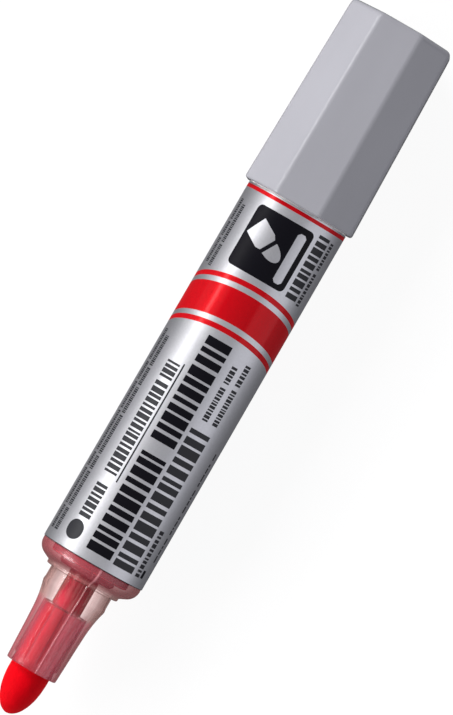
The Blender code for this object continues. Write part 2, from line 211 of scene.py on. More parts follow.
def piece(name, bm, body, material, stands_for):
    """Makes the mesh a smooth piece that rides on a body, if one is given, and stands for CAD nodes.

    The material is one, or a list that the faces' material indices pick from.
    """
    bmesh.ops.recalc_face_normals(bm, faces=bm.faces)
    mesh = bpy.data.meshes.new(name)
    bm.to_mesh(mesh)
    bm.free()
    mesh.shade_smooth()
    obj = bpy.data.objects.new(name, mesh)
    bpy.context.collection.objects.link(obj)
    for made_of in material if isinstance(material, list) else [material]:
        mesh.materials.append(made_of)
    if body:
        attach(obj, body)
    if stands_for:
        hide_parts(*stands_for)
    return obj


def weigh_normals(obj):
    """Keeps wide faces flat in shading, beside their rounded edges."""
    weigh = obj.modifiers.new("flat_faces", "WEIGHTED_NORMAL")
    weigh.keep_sharp = True
    return obj


def respun(name, node, body, material, fillet=FINE, segments=SMALL_SPIN):
    """A finer version of a round CAD node, with its corners rounded."""
    outline = rounded(cad_profile(node), fillet)
    return weigh_normals(piece(name, spun(outline, even_angles(segments)), body, material, (node,)))


def arc(center_radius, center_along, radius, start, end, steps):
    """(radius, along) points on a round stretch of an outline, for angles in degrees from straight out."""
    points = []
    for i in range(steps + 1):
        angle = math.radians(start + (end - start) * i / steps)
        points.append((center_radius + radius * math.cos(angle), center_along + radius * math.sin(angle)))
    return points


# ---------------------------------------------------------------- materials


class Nodes:
    """A material with a Principled shader and short calls for the few nodes that these materials use."""

    def __init__(self, name, color, roughness, **values):
        self.material = bpy.data.materials.new(name)
        self.material.use_nodes = True
        self.tree = self.material.node_tree
        self.shader = self.tree.nodes["Principled BSDF"]
        self.shader.inputs["Base Color"].default_value = (*color, 1)
        self.shader.inputs["Roughness"].default_value = roughness
        for key, value in values.items():
            self.shader.inputs[key.replace("_", " ")].default_value = value
        self.coordinates = self.tree.nodes.new("ShaderNodeTexCoord")

    def link(self, source, target):
        self.tree.links.new(source, target)

    def add(self, kind, **values):
        node = self.tree.nodes.new("ShaderNode" + kind)
        for key, value in values.items():
            node.inputs[key].default_value = value
        return node

    def noise(self, size_mm, detail, stretch=(1, 1, 1), roughness=0.5):
        """Noise with features of about a size in millimetres, drawn out along the axes by stretch."""
        place = self.add("Mapping", Scale=[1 / s for s in stretch])
        self.link(self.coordinates.outputs["Object"], place.inputs["Vector"])
        made = self.add("TexNoise", Scale=1 / (size_mm * MM), Detail=detail, Roughness=roughness)
        self.link(place.outputs["Vector"], made.inputs["Vector"])
        return made.outputs["Fac"]

    def ranged(self, value, low, high, at_low=0.3, at_high=0.7):
        """The value mapped to low and high, from its middle range or from one that is given."""
        ends = {"From Min": at_low, "From Max": at_high, "To Min": low, "To Max": high}
        node = self.add("MapRange", **ends)
        self.link(value, node.inputs["Value"])
        return node.outputs["Result"]

    def fill(self, sockets, values):
        """Gives each socket its plain number or colour, or the link from a node's output."""
        for socket, value in zip(sockets, values):
            if isinstance(value, bpy.types.NodeSocket):
                self.link(value, socket)
            else:
                socket.default_value = (*value, 1) if isinstance(value, tuple) else value

    def arithmetic(self, operation, *values):
        node = self.add("Math")
        node.operation = operation
        self.fill(node.inputs, values)
        return node.outputs[0]

    def between(self, factor, first, second):
        """A mix of two numbers, each a plain one or a node's output."""
        node = self.add("Mix")
        self.fill((node.inputs["Factor"], node.inputs[2], node.inputs[3]), (factor, first, second))
        return node.outputs[0]

    def mix(self, factor, first, second):
        """A mix of two colours, each a plain one or a node's output."""
        node = self.add("Mix")
        node.data_type = "RGBA"
        self.fill((node.inputs["Factor"], node.inputs[6], node.inputs[7]), (factor, first, second))
        return node.outputs[2]

    def position(self):
        """The X, Y and Z sockets of a point's place in the marker at rest."""
        parts = self.add("SeparateXYZ")
        self.link(self.coordinates.outputs["Object"], parts.inputs["Vector"])
        return parts.outputs

    def along(self, start, end):
        """0 before the start and 1 after the end, both places along the marker."""
        return self.ranged(self.position()["X"], 0, 1, TIP_X + start * MM, TIP_X + end * MM)

    def beside_parting(self):
        """The sine of the angle round the marker from the clear moulding's parting line."""
        place = self.position()
        across = self.arithmetic("MULTIPLY", place["Y"], -1)
        turned = self.arithmetic("ARCTAN2", across, self.arithmetic("SUBTRACT", place["Z"], AXIS_HEIGHT))
        return self.arithmetic("SINE", self.arithmetic("SUBTRACT", turned, PARTING))

    def color_from(self, factor, first, second):
        self.link(self.mix(factor, first, second), self.shader.inputs["Base Color"])

    def roughness_from(self, value, low, high):
        self.link(self.ranged(value, low, high), self.shader.inputs["Roughness"])

    def bump(self, *layers):
        """Bump from (value, height in millimetres) layers, one on another."""
        normal = None
        for value, height in layers:
            node = self.add("Bump", Distance=height * MM, Strength=1)
            self.link(value, node.inputs["Height"])
            if normal:
                self.link(normal, node.inputs["Normal"])
            normal = node.outputs["Normal"]
        self.link(normal, self.shader.inputs["Normal"])


def moulded(name, dark, light, roughness, **values):
    """Moulded plastic: slow flow marks in its colour, uneven gloss and very slight waves in its surface."""
    made = Nodes(name, light, roughness, **values)
    flow = made.noise(9, 2, stretch=(3, 1, 1))
    made.color_from(made.ranged(flow, 0, 1), dark, light)
    made.roughness_from(made.noise(5, 1, stretch=(2, 1, 1)), roughness - 0.03, roughness + 0.03)
    made.bump((made.noise(6, 0), 0.004))
    return made.material


def printed(name, color, roughness, **values):
    """One colour of the label: film or ink, very slightly uneven and mottled."""
    made = Nodes(name, color, roughness, **values)
    ripple = made.noise(3.5, 2, stretch=(2.5, 1, 1))
    fine = made.noise(0.18, 2)
    darkest = tuple(channel * 0.93 for channel in color)
    made.color_from(made.ranged(made.noise(0.35, 3), 0, 1), darkest, color)
    made.roughness_from(fine, roughness - 0.03, roughness + 0.04)
    made.bump((ripple, 0.006), (fine, 0.0012))
    return made.material


def felt(name, bright, deep, soaked=None):
    """Compressed fibre soaked in ink: short fibres along the nib, darker where the ink pools.

    With a soaked colour, the fibre turns to it towards its rear end, where the ink enters.
    """
    made = Nodes(name, bright, 0.7, Specular_IOR_Level=0.04)
    fibres = made.noise(0.09, 3, stretch=(7, 1, 1), roughness=0.65)
    pools = made.noise(1.4, 3)
    both = made.arithmetic("MULTIPLY", made.ranged(fibres, 0.5, 1), made.ranged(pools, 0.55, 1))
    if soaked:
        bright = made.mix(made.along(20, 22.8), bright, soaked)
    made.color_from(both, deep, bright)
    made.bump((fibres, 0.03), (made.noise(0.45, 3), 0.02))
    return made.material


def clear_plastic(name):
    """Clear moulding, mixed of a stained shader and of what shows through it.

    It is cloudy with pink stain round the nib, cleaner in the thick walls behind it, and deep red over the
    ink in the shoulder. The half that faces -Y, past the parting line, is hazier: a painted reflection of the
    light on that side. A painted highlight runs along the parting line. What is behind the moulding shows
    through darkest at its edges, where the wall is deepest.
    """
    made = Nodes(name, (0.7, 0.2, 0.22), 0.15, Specular_IOR_Level=0.8, Coat_Weight=0.45, Coat_Roughness=0.13)
    clean, inked = made.along(18.8, 20.0), made.along(24.3, 25.4)
    facing = made.add("LayerWeight", Blend=0.5).outputs["Facing"]
    side = made.beside_parting()
    # The -Y half, past the parting line, marked for a painted reflection of the light on that side.
    painted_reflection_half = made.ranged(side, 0, 1, -0.02, 0.02)
    # A narrow light line along the parting ridge: a painted highlight over the ridge's real relief.
    painted_parting_highlight = made.ranged(made.arithmetic("ABSOLUTE", side), 0.55, 0, 0.006, 0.034)

    mottle = made.ranged(made.noise(2.2, 3, stretch=(1.6, 1, 1)), 0, 1)
    stain = made.mix(mottle, (0.82, 0.13, 0.19), (0.80, 0.19, 0.23))
    haze = made.mix(clean, stain, (0.74, 0.40, 0.36))
    haze = made.mix(inked, haze, (0.385, 0.045, 0.065))
    # The parting ridge's painted highlight, in light pink.
    made.color_from(painted_parting_highlight, haze, (0.90, 0.42, 0.45))
    gloss = made.between(inked, made.ranged(made.noise(1.1, 2), 0.1, 0.22), 0.34)
    made.link(gloss, made.shader.inputs["Roughness"])
    made.bump((made.noise(1.5, 2, stretch=(3, 1, 1)), 0.012))

    open_part = made.add("BsdfTransparent")
    thin = made.mix(clean, (1, 0.93, 0.94), (0.95, 0.82, 0.81))
    seen_through = made.mix(made.ranged(facing, 0, 1, 0.12, 0.55), thin, (0.46, 0.36, 0.35))
    made.link(seen_through, open_part.inputs["Color"])

    # Painted reflection: on the -Y half the lit surface takes a larger share.
    stained = made.between(painted_reflection_half, made.ranged(facing, 0.14, 0.28), made.ranged(facing, 0.32, 0.34))
    thick = made.between(painted_reflection_half, made.ranged(facing, 0.05, 0.2), made.ranged(facing, 0.08, 0.24))
    over_ink = made.ranged(facing, 0.52, 0.34, 0.15, 0.55)
    streaks = made.noise(0.8, 2, stretch=(16, 1, 1))
    streaks = made.between(clean, made.ranged(streaks, 0.6, 1.4), made.ranged(streaks, 0.3, 2.2, 0.4, 0.65))
    # Streaky cloudiness, with the painted reflection on the -Y half.
    cloud_and_painted_reflection = made.arithmetic("MULTIPLY", streaks, made.between(clean, stained, thick))
    # Along the parting ridge the lit surface's share rises, for its painted highlight.
    share = made.between(painted_parting_highlight, made.between(inked, cloud_and_painted_reflection, over_ink), 0.6)

    both = made.add("MixShader")
    made.fill(both.inputs, (share, open_part.outputs["BSDF"], made.shader.outputs["BSDF"]))
    made.link(both.outputs["Shader"], made.tree.nodes["Material Output"].inputs["Surface"])
    return made.material


def rubber(name):
    """Black rubber: matt, with a fine grain."""
    made = Nodes(name, (0.02, 0.02, 0.021), 0.6)
    fine = made.noise(0.2, 3)
    made.color_from(made.ranged(fine, 0, 1), (0.014, 0.014, 0.015), (0.03, 0.03, 0.031))
    made.roughness_from(made.noise(0.8, 2), 0.5, 0.7)
    made.bump((fine, 0.006))
    return made.material


def spring_wire(name):
    """Bright steel, marked along by the die that it was drawn through."""
    made = Nodes(name, (0.6, 0.6, 0.6), 0.22, Metallic=1.0)
    drawn = made.noise(0.12, 2, stretch=(1, 4, 4))
    made.color_from(made.ranged(drawn, 0, 1), (0.5, 0.5, 0.51), (0.68, 0.68, 0.68))
    made.roughness_from(drawn, 0.16, 0.3)
    made.bump((drawn, 0.002))
    return made.material


def liquid(name):
    """Red ink, unevenly deep."""
    made = Nodes(name, (0.62, 0.02, 0.03), 0.25)
    made.color_from(made.ranged(made.noise(2, 3), 0, 1), (0.48, 0.012, 0.02), (0.74, 0.05, 0.06))
    made.roughness_from(made.noise(1, 2), 0.2, 0.35)
    made.bump((made.noise(0.9, 2), 0.01))
    return made.material


CAP_GREY = moulded(
    "cap_grey",
    (0.232, 0.230, 0.250),
    (0.248, 0.246, 0.267),
    0.22,
    Specular_IOR_Level=0.3,
    Coat_Weight=0.65,
    Coat_Roughness=0.07,
)
TAIL_GREY = moulded("tail_grey", (0.21, 0.21, 0.225), (0.235, 0.235, 0.25), 0.36)
LINER = moulded(
    "liner_white",
    (0.72, 0.72, 0.70),
    (0.80, 0.80, 0.78),
    0.4,
    Subsurface_Weight=0.2,
    Subsurface_Scale=0.002,
)
BARREL = moulded("barrel_white", (0.74, 0.74, 0.73), (0.80, 0.80, 0.79), 0.35)
NATURAL = moulded("natural_plastic", (0.66, 0.65, 0.60), (0.76, 0.75, 0.70), 0.38)
BUTTON_RED = moulded("button_red", (0.50, 0.005, 0.012), (0.60, 0.01, 0.018), 0.3, Coat_Weight=0.2)
CLEAR = clear_plastic("clear_plastic")
NIB_FELT = felt("nib_felt", (0.53, 0.0, 0.004), (0.38, 0.0, 0.003))
WICK_FELT = felt("wick_felt", (0.86, 0.06, 0.15), (0.55, 0.02, 0.075), soaked=(0.42, 0.008, 0.05))
RUBBER = rubber("black_rubber")
WIRE = spring_wire("spring_wire")
INK = liquid("red_ink")
LABEL = [
    printed("label_silver", (0.54, 0.537, 0.558), 0.4, Metallic=0.92),
    printed("label_black", (0.0025, 0.0022, 0.004), 0.35, Specular_IOR_Level=0.1),
    printed("label_charcoal", (0.012, 0.012, 0.015), 0.35, Specular_IOR_Level=0.25),
    printed(
        "label_red",
        (0.455, 0.0, 0.004),
        0.3,
        Metallic=0.4,
        Specular_IOR_Level=0,
        Coat_Weight=0.36,
        Coat_Roughness=0.17,
    ),
]
FILM, INK_BLACK, INK_CHARCOAL, INK_RED = range(len(LABEL))


# ---------------------------------------------------------------- cap

CAP_SIDES = 8


def facet_section(corner):
    """The cap's outline: a ring's radius means the distance to a facet, and corner is its corners' radius."""
    half = math.pi / CAP_SIDES

    def section(flat, angle):
        from_corner = (angle % (2 * half)) - half
        center = (flat - corner) / math.cos(half)
        tangent = math.atan2(corner * math.sin(half), center + corner * math.cos(half))
        if abs(from_corner) >= tangent:
            return flat / math.cos(half - abs(from_corner))
        across = center * math.sin(from_corner)
        return center * math.cos(from_corner) + math.sqrt(corner * corner - across * across)

    return section


def cap():
    """The eight-sided cap, with drafted facets, soft edges and a round bore."""
    mouth, end, flat = span("cap_shell")
    draft = math.tan(math.radians(1.19))
    draft_start = mouth + 0.5
    rim, crown, corner = 0.45, 1.05, 1.3
    end_flat = flat - draft * (end - draft_start)
    facets = facet_section(corner)
    half_facet = 180 / CAP_SIDES
    from_corner = (0.8, 1.6, 2.4, 3, 3.6, 5, 7.5, 11, 15, 19)
    offsets = [-half_facet, *(-o for o in from_corner[::-1]), 0, *from_corner]
    angles = [math.radians(half_facet * (2 * i + 1) + o) for i in range(CAP_SIDES) for o in offsets]
    lip = [(r, a, facets) for r, a in arc(flat - rim, mouth + rim, rim, -90, 0, 5)]
    heights = (1.2, 8, 16, 24, end - mouth - 2.6)
    sides = [(flat - draft * height, draft_start + height, facets) for height in heights]
    top = [(r, a, facets) for r, a in arc(end_flat - crown, end - crown, crown, 0, 90, 7)]
    top.append((end_flat - crown - 0.15, end, facets))  # holds the end flat inside its round edge
    gate = [(2.8, end), (2.6, end), (2.5, end - 0.12), (0.9, end - 0.16), (0.75, end - 0.05), (0, end - 0.03)]
    bore_floor, bore_mouth, bore_end = end - 1.7, 9.15, 7.9
    inside = [
        (0, bore_floor),
        (bore_end - 0.7, bore_floor),
        (bore_end - 0.2, bore_floor - 0.18),
        (bore_end, bore_floor - 0.7),
        (bore_mouth, mouth + 0.45),
        (bore_mouth + 0.05, mouth + 0.2),
        (bore_mouth + 0.2, mouth + 0.04),
    ]
    bm = spun(lip + sides + top + gate + inside, angles)
    weigh_normals(piece("cap", bm, "cap", CAP_GREY, ("cap_shell",)))
    respun("cap_liner", "cap_inner_cup", "cap", LINER)


# ---------------------------------------------------------------- label

LABEL_RADIUS = span("label_sleeve")[2]
LABEL_REAR = LABEL_RADIUS - 0.11  # the label's radius at its rear end
LABEL_FILM = 0.1  # its thickness
LABEL_STEP = 3  # degrees from one lengthways edge of its mesh to the next
LAP_HEIGHT = 0.035  # how far the film's free edge stands up
SEAM_START, SEAM_RAMP = 172.6, 0.4  # degrees: where the free edge is, and over how much it rises

# The artwork is drawn flat, with places in (degrees round the label, millimetres along the marker).


def box_shape(left, right, low, high):
    return [(left, low), (right, low), (right, high), (left, high)]


def degrees_of(length):
    """How far round the label a length goes."""
    return math.degrees(length / LABEL_RADIUS)


def round_box(left, right, low, high, radius):
    """A box with round corners. The radius is in millimetres."""
    turn, steps = degrees_of(radius), 5
    inner_left, inner_right, inner_low, inner_high = left + turn, right - turn, low + radius, high - radius
    centers = (
        (inner_right, inner_high),
        (inner_left, inner_high),
        (inner_left, inner_low),
        (inner_right, inner_low),
    )
    points = []
    for quarter, (x, y) in enumerate(centers):
        for step in range(steps + 1):
            angle = math.radians(90 * quarter + 90 * step / steps)
            points.append((x + turn * math.cos(angle), y + radius * math.sin(angle)))
    return points


def band(low, high):
    """A ring round the label, tilted so that it arches towards the cap on the upper side."""
    apex, drop = 5, 2.78

    def edge(height):
        angles = range(-180, 181, LABEL_STEP)
        return [(a, height - drop * (1 - math.cos(math.radians(a - apex)))) for a in angles]

    return edge(low) + edge(high)[::-1]


STROKE_STRIDE, GAP_STRIDE = 0.618034, 0.754878


def scattered(count, stride=STROKE_STRIDE):
    """A number from 0 to 1 that jumps about evenly as the count goes up."""
    return (count * stride) % 1


def bars(left, right, low, high, stroke, color, seed, words=(1,), space=0):
    """A line of bars in place of words: strokes of varied width across the line.

    A word is a group of strokes, set apart by a space, and words holds the share of the line that each takes.
    The seed picks where the run of widths starts.
    """
    narrowest, widening = 0.62, 0.95  # shares of the stroke
    least_gap, gap_widening = 0.34, 0.3
    shapes = []
    room = high - low - space * (len(words) - 1)
    start, count = low, seed
    for share in words:
        end = start + room * share / sum(words)
        widths, used = [], 0
        while used < end - start:
            wide = stroke * (narrowest + widening * scattered(count))
            gap = stroke * (least_gap + gap_widening * scattered(count, GAP_STRIDE))
            widths.append((wide, gap))
            used += wide + gap
            count += 1
        scale = (end - start) / (used - widths[-1][1])
        for wide, gap in widths:
            shapes.append((color, box_shape(left, right, start, start + wide * scale)))
            start += (wide + gap) * scale
        start = end + space
    return shapes


def fine_print(left, right, low, high, seed):
    """A line of small dashes of varied length, with a wider gap after every fourth one.

    The seed picks where the run of lengths starts.
    """
    shortest, least_left, gap, wide_gap = 0.35, 0.25, 0.22, 0.7
    shapes = []
    start, count = low, seed
    while start < high:
        end = min(start + shortest + scattered(count), high)
        if end - start > least_left:
            shapes.append((INK_CHARCOAL, box_shape(left, right, start, end)))
        start = end + (gap if count % 4 else wide_gap)
        count += 1
    return shapes


def writing_sign(left, right, low, high):
    """A plain sign on a dark tile: a marker writes a broad line.

    It is upright for someone reading along the marker. Its own places run from 0 to 1 across and up the tile.
    """
    wide, tall = right - left, high - low
    lean, tip = math.radians(30), (0.36, 0.3)

    def on_tile(points):
        return [(right - y * wide, low + x * tall) for x, y in points]

    def leaned(points):
        """Points of an upright marker above its own tip, leaned over the line that it writes."""
        turned = []
        for x, y in points:
            across, up = x * math.cos(lean) + y * math.sin(lean), y * math.cos(lean) - x * math.sin(lean)
            turned.append((tip[0] + across, tip[1] + up))
        return on_tile(turned)

    half, back, top = 0.13, 0.24, 0.66
    half_turn = [math.pi * i / 14 for i in range(15)]
    bullet = [(-half * math.cos(a), back - back * math.sin(a)) for a in half_turn]
    neck, shoulder, body = 0.3, 0.37, 0.17
    collar = [(-half, neck), (half, neck), (body, shoulder), (body, top), (-body, top), (-body, shoulder)]
    start, end, under, over, cut = 0.08, 0.9, 0.09, 0.24, 0.04
    line = [
        (start + cut, under),
        (end - cut, under),
        (end, under + cut),
        (end, over - cut),
        (end - cut, over),
        (start + cut, over),
        (start, over - cut),
        (start, under + cut),
    ]
    return [
        (INK_BLACK, round_box(left, right, low, high, 0.9)),
        (FILM, on_tile(line)),
        (FILM, leaned(bullet)),
        (FILM, leaned(collar)),
    ]


def red_bands():
    """The wide band between two lines, and the line beside the cap."""
    return [
        (INK_RED, box_shape(-180, 180, 93.15, 93.8)),
        (INK_RED, band(78.8, 79.7)),
        (INK_RED, band(72.5, 77.9)),
        (INK_RED, band(70.7, 71.6)),
    ]


def sign_and_its_lines():
    """The sign between the band and the cap, and the two lines under it."""
    shapes = writing_sign(-36.8, 32.7, 80.85, 91.75)
    shapes += bars(37.8, 54.6, 80.7, 92.1, 0.75, INK_CHARCOAL, seed=1)
    shapes += bars(58.2, 64.4, 80.3, 91.8, 0.4, INK_CHARCOAL, words=(6, 5), space=0.7, seed=2)
    return shapes


def large_lines():
    """Two large lines, and beside them a dot and two smaller lines, the longer one underlined."""
    shapes = bars(-11.9, 16.2, 29.9, 69.3, 1.15, INK_BLACK, words=(18.3, 19), space=2.4, seed=3)
    shapes += bars(20.3, 46.1, 29.7, 55.0, 1.15, INK_CHARCOAL, seed=4)
    shapes += bars(-38.6, -22.0, 42.1, 62.7, 0.62, INK_CHARCOAL, words=(17, 3), space=0.8, seed=5)
    shapes.append((INK_CHARCOAL, box_shape(-19.4, -17.6, 41.3, 63.2)))
    shapes.append((INK_CHARCOAL, round_box(-43.0, -23.0, 29.8, 33.2, 1.5)))
    shapes += bars(-38.5, -23.5, 33.9, 40.0, 0.6, INK_CHARCOAL, seed=6)
    return shapes


def small_lines():
    """The small lines and the short mark past the large ones, and the notices at the label's left side."""
    shapes = bars(25.6, 32.6, 56.9, 66.8, 0.38, INK_CHARCOAL, words=(6, 3), space=0.8, seed=7)
    shapes += bars(39.2, 46.8, 56.9, 68.0, 0.38, INK_CHARCOAL, words=(7, 4), space=0.8, seed=8)
    shapes += bars(51.2, 58.4, 29.7, 38.1, 0.5, INK_CHARCOAL, seed=9)
    shapes.append((INK_BLACK, box_shape(61.0, 66.0, 29.8, 31.2)))
    notices = [
        (-72.5, -65.3, 29.9, 66.8, (5, 8, 3, 9, 6, 4, 7), 20),
        (-62.0, -54.8, 29.9, 65.8, (5, 8, 3, 9, 6, 4, 7), 21),
        (-71.5, -64.8, 79.4, 91.0, (7, 4, 6), 23),
        (-61.2, -54.8, 79.0, 90.2, (5, 9), 25),
    ]
    for *box, words, seed in notices:
        shapes += bars(*box, 0.2, INK_CHARCOAL, words=words, space=0.5, seed=seed)
    return shapes


def back_lines():
    """Fine print round the back, on both sides of the seam, in lines that end unevenly."""
    wide, apart, low = 3.6, 9, 29.9
    shapes = fine_print(69.5, 69.5 + wide, 33.0, 53.3, seed=29)
    for line in range(8):
        left, high = 86 + apart * line, 64.5 - 1.3 * (line % 3)
        shapes += fine_print(left, left + wide, low, high, seed=41 + 9 * line)
    for line in range(5):
        left, high = -144 + apart * line, 64.8 - 1.1 * (line % 4)
        shapes += fine_print(left, left + wide, low, high, seed=57 + 6 * line)
    return shapes


def artwork():
    """Every printed shape on the label, later ones over earlier ones, then a thin ring of painted shade at
    its front edge.
    """
    low = span("label_sleeve")[0]
    # A thin charcoal ring where the film meets the clear shoulder: painted shade.
    painted_edge_shade = [(INK_CHARCOAL, box_shape(-180, 180, low, low + 0.09))]
    return red_bands() + sign_and_its_lines() + large_lines() + small_lines() + back_lines() + painted_edge_shade


def cut_flat(shapes, low, high):
    """Cuts the flat label along every shape's outline. Gives points, triangles and each triangle's colour."""
    points, edges, faces = [], [], []

    def outline(loop, closed=True):
        first = len(points)
        points.extend(Vector(p) for p in loop)
        count = len(loop)
        edges.extend((first + i, first + (i + 1) % count) for i in range(count if closed else count - 1))
        return list(range(first, first + count))

    faces.append(outline(box_shape(-180, 180, low, high)))
    colors = [FILM]
    for color, loop in shapes:
        faces.append(outline(loop))
        colors.append(color)
    for angle in (*range(-180 + LABEL_STEP, 180, LABEL_STEP), SEAM_START, SEAM_START + SEAM_RAMP):
        outline([(angle, low), (angle, high)], closed=False)
    inside_only, nearness = 1, 1e-4
    cut = geometry.delaunay_2d_cdt(points, edges, faces, inside_only, nearness)
    cut_points, _, triangles, _, _, sources = cut
    topmost = [max(source) if source else 0 for source in sources]
    return cut_points, triangles, [colors[index] for index in topmost]


def label_step(degrees):
    """How far the film is raised at the back, where its free edge lies over its other end."""
    if degrees < SEAM_START:
        return 0
    return LAP_HEIGHT * min(1, (degrees - SEAM_START) / SEAM_RAMP)


def label():
    """The printed film: its outer face is cut along its artwork, and a plain wall closes the rest."""
    low, high, _ = span("label_sleeve")
    points, triangles, colors = cut_flat(artwork(), low, high)
    taper = (LABEL_REAR - LABEL_RADIUS) / (high - low)
    bm = bmesh.new()
    verts = []
    for x, along in points:
        radius = LABEL_RADIUS + taper * (along - low) + label_step(x)
        verts.append(bm.verts.new(at(radius, math.radians(x), along)))
    for corners, color in zip(triangles, colors):
        face = bm.faces.new([verts[i] for i in corners])
        face.material_index = color
    outside = len(bm.faces)
    wall = [
        (LABEL_RADIUS, low),
        (LABEL_RADIUS - LABEL_FILM, low),
        (LABEL_REAR - LABEL_FILM, high),
        (LABEL_REAR, high),
    ]
    angles = even_angles(360 // LABEL_STEP, math.pi)
    rings = [[bm.verts.new(at(r, a, along)) for a in angles] for r, along in wall]
    for first, second in zip(rings, rings[1:]):
        bridge(bm, first, second)
    made = piece("label", bm, "barrel", LABEL, ("label_sleeve",))
    # The outer face is shaded as a round one, so that the cuts in it don't show.
    normals = []
    for polygon in made.data.polygons:
        for index in polygon.vertices:
            _, angle, _ = read(made.data.vertices[index].co)
            radial = (at(1, angle, 0) - at(0, 0, 0)).normalized()
            normals.append(radial if polygon.index < outside else polygon.normal)
    made.data.normals_split_custom_set(normals)


# ---------------------------------------------------------------- front section, nib and ink

RIBS = 10
RIB_PHASE = math.radians(8)  # the first rib's angle from straight up
RIB_HALF = math.radians(5.5)  # from a rib's crest to its foot
NIB_GRIP = 3.58  # radius at the ribs that hold the nib
NIB_CHANNEL = 3.95  # radius between them
HOLLOW_INNER, HOLLOW_OUTER = 5.9, 6.9  # radii of the hollow in the clear moulding's skirt
RIDGE_HEIGHT = 0.115  # how far the parting line stands up
RIDGE_STEEP, RIDGE_SLOPE = 1.45, 4  # its two flanks, in degrees


def ribbed(radius, angle):
    """The nib's bore: narrow round-topped ribs between wide air channels."""
    pitch = math.tau / RIBS
    from_rib = abs((angle - RIB_PHASE + pitch / 2) % pitch - pitch / 2)
    share = min(1, from_rib / RIB_HALF)
    return NIB_GRIP + (radius - NIB_GRIP) * (3 - 2 * share) * share * share


def parted(radius, angle):
    """The outside, with the mould's parting line standing up on opposite sides, steeper on one flank."""
    off = math.degrees((angle - PARTING + math.pi / 2) % math.pi - math.pi / 2)
    return radius + RIDGE_HEIGHT * max(0, 1 + off / RIDGE_STEEP if off < 0 else 1 - off / RIDGE_SLOPE)


def front_section():
    """The clear moulding, with its bead, flange, rounded shoulder, hollow skirt and ribs."""
    front, rear, radius = span("front_section")
    shoulder_top, shoulder_round, flange, bead, neck_root = 27.6, 2.3, 24.4, 21.9, 5.58
    spigot, valve_bore, wick_bore, nib_stop = 8.05, 4.9, 2.6, 19.2
    neck = [
        (NIB_GRIP + 0.12, front),
        (4.3, front),
        (4.43, front + 0.06),
        (4.49, front + 0.22),
        (4.60, 10.9),
        (4.72, 14.2),
        (4.84, 16.8),
        (4.93, 18.0),
        (5.08, 19.2),
        (5.28, 20.3),
        (5.50, 21.2),
        (5.62, 21.6),
        (5.67, bead),
        (5.64, bead + 0.3),
        (neck_root + 0.01, bead + 0.6),
        (neck_root, flange - 0.15),
        (neck_root + 0.12, flange),
    ]
    shoulder = [
        (6.35, flange),
        (6.5, flange + 0.1),
        (6.54, flange + 0.3),
        (6.52, flange + 0.5),
        (6.62, flange + 0.62),
    ]
    shoulder += arc(radius - shoulder_round, shoulder_top, shoulder_round, -65, 0, 10)
    outside = [(r, along, parted) for r, along in neck + shoulder]
    skirt = [
        (radius, 27.9),
        (radius - 0.06, 28.0),
        (radius - 0.14, 28.02),
        (spigot, 28.03),
        (spigot, rear - 0.4),
        (spigot - 0.25, rear),
        (HOLLOW_OUTER, rear),
        (HOLLOW_OUTER, 27.0),
        (HOLLOW_OUTER - 0.15, 26.7),
        ((HOLLOW_INNER + HOLLOW_OUTER) / 2, 26.6),
        (HOLLOW_INNER + 0.15, 26.7),
        (HOLLOW_INNER, 27.0),
        (HOLLOW_INNER, rear - 0.2),
        (valve_bore, rear - 0.2),
        (valve_bore, 26.0),
        (valve_bore - 0.4, 25.6),
        (wick_bore + 0.15, 25.6),
        (wick_bore, 25.45),
        (wick_bore, nib_stop + 0.15),
        (wick_bore + 0.15, nib_stop),
    ]
    bore = [(NIB_CHANNEL, nib_stop, ribbed), (NIB_CHANNEL, 9.6, ribbed), (NIB_GRIP, 9.3)]
    offsets = (-RIDGE_STEEP - 0.25, -RIDGE_STEEP, 0, 0.3, RIDGE_SLOPE)
    ridge = [PARTING + half * math.pi + math.radians(off) for half in (0, 1) for off in offsets]
    angles = sorted({round(a % math.tau, 6) for a in even_angles(240) + ridge})
    bm = spun(outside + skirt + bore, angles)
    weigh_normals(piece("clear_front", bm, "barrel", CLEAR, ("front_section",)))


def skirt_ink():
    """Ink in the hollow of the skirt, in one cell for each gap between the nib's ribs."""
    clear_of_wall, front, rear = 0.04, 26.75, 37.6
    inner, outer = HOLLOW_INNER + clear_of_wall, HOLLOW_OUTER - clear_of_wall
    corners = ((inner, front), (outer, front), (outer, rear), (inner, rear))
    half_gap, steps = math.radians(2), 12
    pitch = math.tau / RIBS
    turn = pitch - 2 * half_gap
    bm = bmesh.new()
    for cell in range(RIBS):
        start = RIB_PHASE + cell * pitch + half_gap
        loops = []
        for step in range(steps + 1):
            angle = start + turn * step / steps
            loops.append([bm.verts.new(at(r, angle, along)) for r, along in corners])
        for first, second in zip(loops, loops[1:]):
            bridge(bm, first, second)
        bm.faces.new(loops[0])
        bm.faces.new(loops[-1])
    weigh_normals(piece("ink_in_skirt", bm, "barrel", INK, ()))


def nib():
    """The bullet nib: half an ellipse, then a rod, with the slight unevenness of ground fibre."""
    front, rear, radius = span("nib")
    bullet, steps, chamfer = 7.0, 32, 0.3
    outline = [(0, front)]
    for step in range(1, steps + 1):
        angle = math.pi / 2 * step / steps
        outline.append((radius * math.sin(angle), front + bullet * (1 - math.cos(angle))))
    outline += [(radius, front + along) for along in (8.5, 10.5, 13, 16)]
    outline += [(radius, rear - chamfer), (radius - chamfer, rear), (0, rear)]
    bm = spun(outline, even_angles(SPIN))
    waves, wave_depth = 900, 0.03
    grains, grain_depth = 4200, 0.012
    smooth_tip = 0.4
    for vert in bm.verts:
        distance, angle, along = read(vert.co)
        if distance > smooth_tip:
            uneven = noise.noise(vert.co * waves) * wave_depth + noise.noise(vert.co * grains) * grain_depth
            vert.co = at(distance + uneven - wave_depth, angle, along)
    piece("felt_nib", bm, "barrel", NIB_FELT, ("nib",))


# ---------------------------------------------------------------- springs and the rest of the pieces


